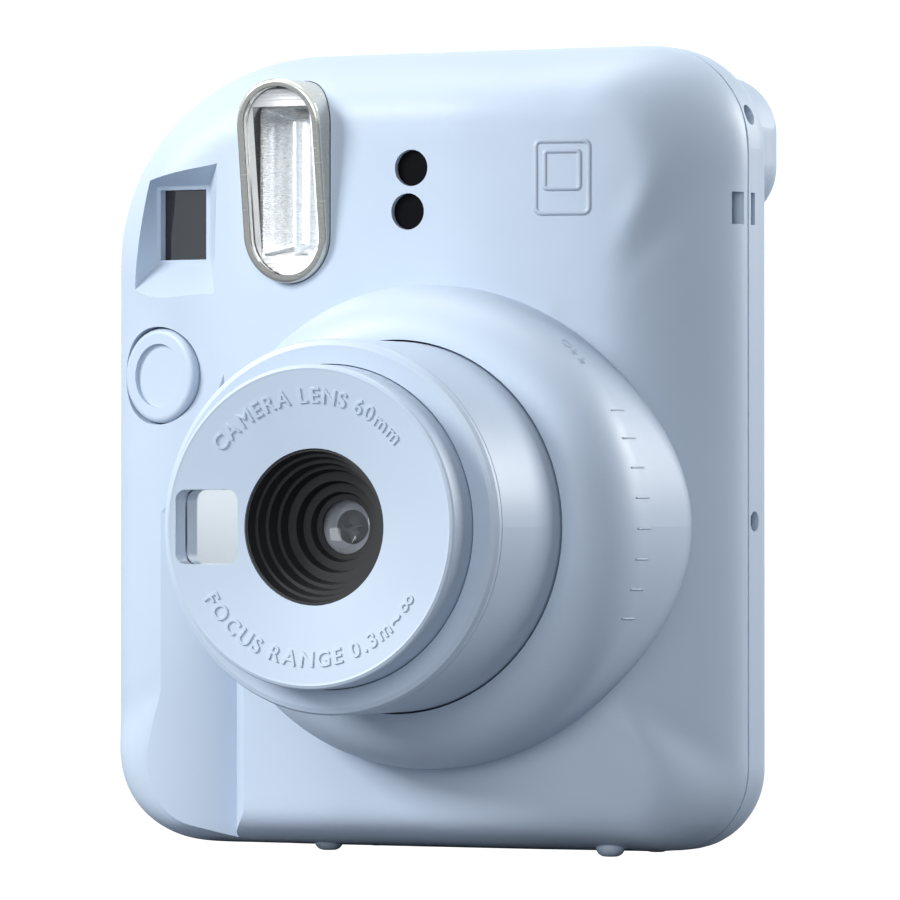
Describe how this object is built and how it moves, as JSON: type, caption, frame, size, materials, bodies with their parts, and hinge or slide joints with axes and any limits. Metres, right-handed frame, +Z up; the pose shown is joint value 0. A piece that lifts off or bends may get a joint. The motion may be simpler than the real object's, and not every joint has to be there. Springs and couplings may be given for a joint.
{
  "type": "instant camera",
  "caption": "Compact instant film camera with a twist-out lens barrel, upright flash, selfie mirror, optical finder and hinged film door.",
  "frame": {"origin": "on the surface it stands on, under the middle of its width and its depth with the barrel out", "axes": "+Z up, the lens looks along -Y, the grip is on the -X side"},
  "size_m": [0.104, 0.0829, 0.1232],
  "materials": {
    "body_blue": "fine satin moulded plastic",
    "ring_blue": "satin moulded plastic",
    "black_plastic": "matt black",
    "dark_window": "smoked clear plastic",
    "mirror": "polished",
    "nickel": "satin plated",
    "clear": "clear moulded plastic",
    "reflector": "bright polished",
    "steel": "bare steel",
    "spring_steel": "spring wire",
    "grey_plastic": "moulded",
    "gear_white": "acetal",
    "foam": "foam strip",
    "board": "circuit board",
    "cell": "plain battery wrapper",
    "can": "sleeved can",
    "rubber": "roller rubber",
    "dial": "printed dial"
  },
  "bodies": {
    "root": {"front_shell": "body_blue", "rear_shell": "body_blue", "barrel_guide": "black_plastic", "light_tunnel": "black_plastic", "film_chamber": "black_plastic", "light_seal": "foam", "battery_box": "black_plastic", "battery_contacts": "steel", "batteries": "cell", "main_board": "board", "board_parts": "black_plastic", "flash_bezel": "nickel", "flash_lens": "clear", "flash_reflector": "reflector", "flash_tube": "clear", "flash_board": "board", "flash_capacitor": "can", "sensor_windows": "dark_window", "finder_window": "dark_window", "finder_tube": "black_plastic", "eyepiece_bezel": "body_blue", "eyepiece_lens": "clear", "motor": "steel", "roller_frame": "steel", "gear_post": "steel", "counter_window": "clear", "shell_screws": "steel", "door_hinge_pin": "steel", "button_spring": "spring_steel", "button_switch": "grey_plastic"},
    "lens_stage": {"stage_sleeve": "ring_blue"},
    "lens_ring": {"ring_bezel": "ring_blue", "ring_sleeve": "ring_blue"},
    "lens_barrel": {"inner_barrel": "ring_blue", "barrel_face": "ring_blue", "selfie_mirror": "mirror", "lens_baffle": "black_plastic", "front_lens": "clear", "aperture_plate": "grey_plastic", "rear_lens": "clear", "lens_cell": "black_plastic", "shutter_plate": "black_plastic", "shutter_solenoid": "can"},
    "shutter": {"shutter_blade": "steel"},
    "release_button": {"shutter_button": "body_blue"},
    "door": {"film_door": "body_blue", "film_window": "clear", "pressure_pads": "grey_plastic", "latch_spring": "spring_steel"},
    "latch": {"door_latch": "body_blue"},
    "battery_lid": {"battery_cover": "body_blue"},
    "drive_shaft": {"drive_roller": "steel", "roller_gear": "gear_white"},
    "pinch_shaft": {"pinch_roller": "rubber"},
    "idler": {"idler_gear": "gear_white"},
    "pinion": {"motor_pinion": "gear_white"},
    "claw": {"ejection_claw": "steel"},
    "counter": {"counter_dial": "dial"}
  },
  "joints": [
    {"name": "lens_stage_slide", "type": "slide", "parent": "root", "child": "lens_stage", "axis": [0, -1, 0], "range_m": [-0.0122, 0.0022]},
    {"name": "lens_ring_turn", "type": "hinge", "parent": "lens_stage", "child": "lens_ring", "pos_m": [0.0106, -0.02, 0.0498], "axis": [0, 1, 0], "range_deg": [-75, 12]},
    {"name": "lens_barrel_slide", "type": "slide", "parent": "lens_stage", "child": "lens_barrel", "axis": [0, -1, 0], "range_m": [-0.0046, 0.001]},
    {"name": "shutter_blade_turn", "type": "hinge", "parent": "lens_barrel", "child": "shutter", "pos_m": [0.0196, -0.0184, 0.0579], "axis": [0, 1, 0], "range_deg": [0, 35], "stiffness_Nm_per_rad": 0.00002, "springref_deg": -11.46},
    {"name": "shutter_button_press", "type": "slide", "parent": "root", "child": "release_button", "axis": [0.2588, 0.9659, 0], "range_m": [0, 0.0015], "stiffness_N_per_m": 1200, "springref_m": -0.0008},
    {"name": "film_door_hinge", "type": "hinge", "parent": "root", "child": "door", "pos_m": [0.045, 0.0333, 0.05], "axis": [0, 0, -1], "range_deg": [0, 95]},
    {"name": "door_latch_slide", "type": "slide", "parent": "door", "child": "latch", "axis": [0, 0, 1], "range_m": [0, 0.004], "stiffness_N_per_m": 300, "springref_m": -0.003, "deforming": ["latch_spring"]},
    {"name": "battery_cover_slide", "type": "slide", "parent": "root", "child": "battery_lid", "axis": [-1, 0, 0], "range_m": [0, 0.02]},
    {"name": "drive_roller_turn", "type": "hinge", "parent": "root", "child": "drive_shaft", "pos_m": [0.0106, 0.0266, 0.1075], "axis": [1, 0, 0], "continuous": true},
    {"name": "pinch_roller_turn", "type": "hinge", "parent": "root", "child": "pinch_shaft", "pos_m": [0.0106, 0.0194, 0.1075], "axis": [1, 0, 0], "continuous": true},
    {"name": "idler_gear_turn", "type": "hinge", "parent": "root", "child": "idler", "pos_m": [0.043, 0.01841, 0.10176], "axis": [1, 0, 0], "continuous": true},
    {"name": "motor_pinion_turn", "type": "hinge", "parent": "root", "child": "pinion", "pos_m": [0.043, 0.01428, 0.09587], "axis": [1, 0, 0], "continuous": true},
    {"name": "ejection_claw_slide", "type": "slide", "parent": "root", "child": "claw", "axis": [0, 0, 1], "range_m": [0, 0.012]},
    {"name": "counter_dial_turn", "type": "hinge", "parent": "root", "child": "counter", "pos_m": [-0.0385, 0.0318, 0.076], "axis": [0, 1, 0], "range_deg": [0, 330]}
  ],
  "couplings": [
    {"joint": "lens_stage_slide", "follows": "lens_ring_turn", "m_per_rad": 0.009166},
    {"joint": "lens_barrel_slide", "follows": "lens_ring_turn", "m_per_rad": 0.00336},
    {"joint": "pinch_roller_turn", "follows": "drive_roller_turn", "ratio": -1},
    {"joint": "idler_gear_turn", "follows": "drive_roller_turn", "ratio": -0.92308},
    {"joint": "motor_pinion_turn", "follows": "drive_roller_turn", "ratio": 2.4}
  ]
}
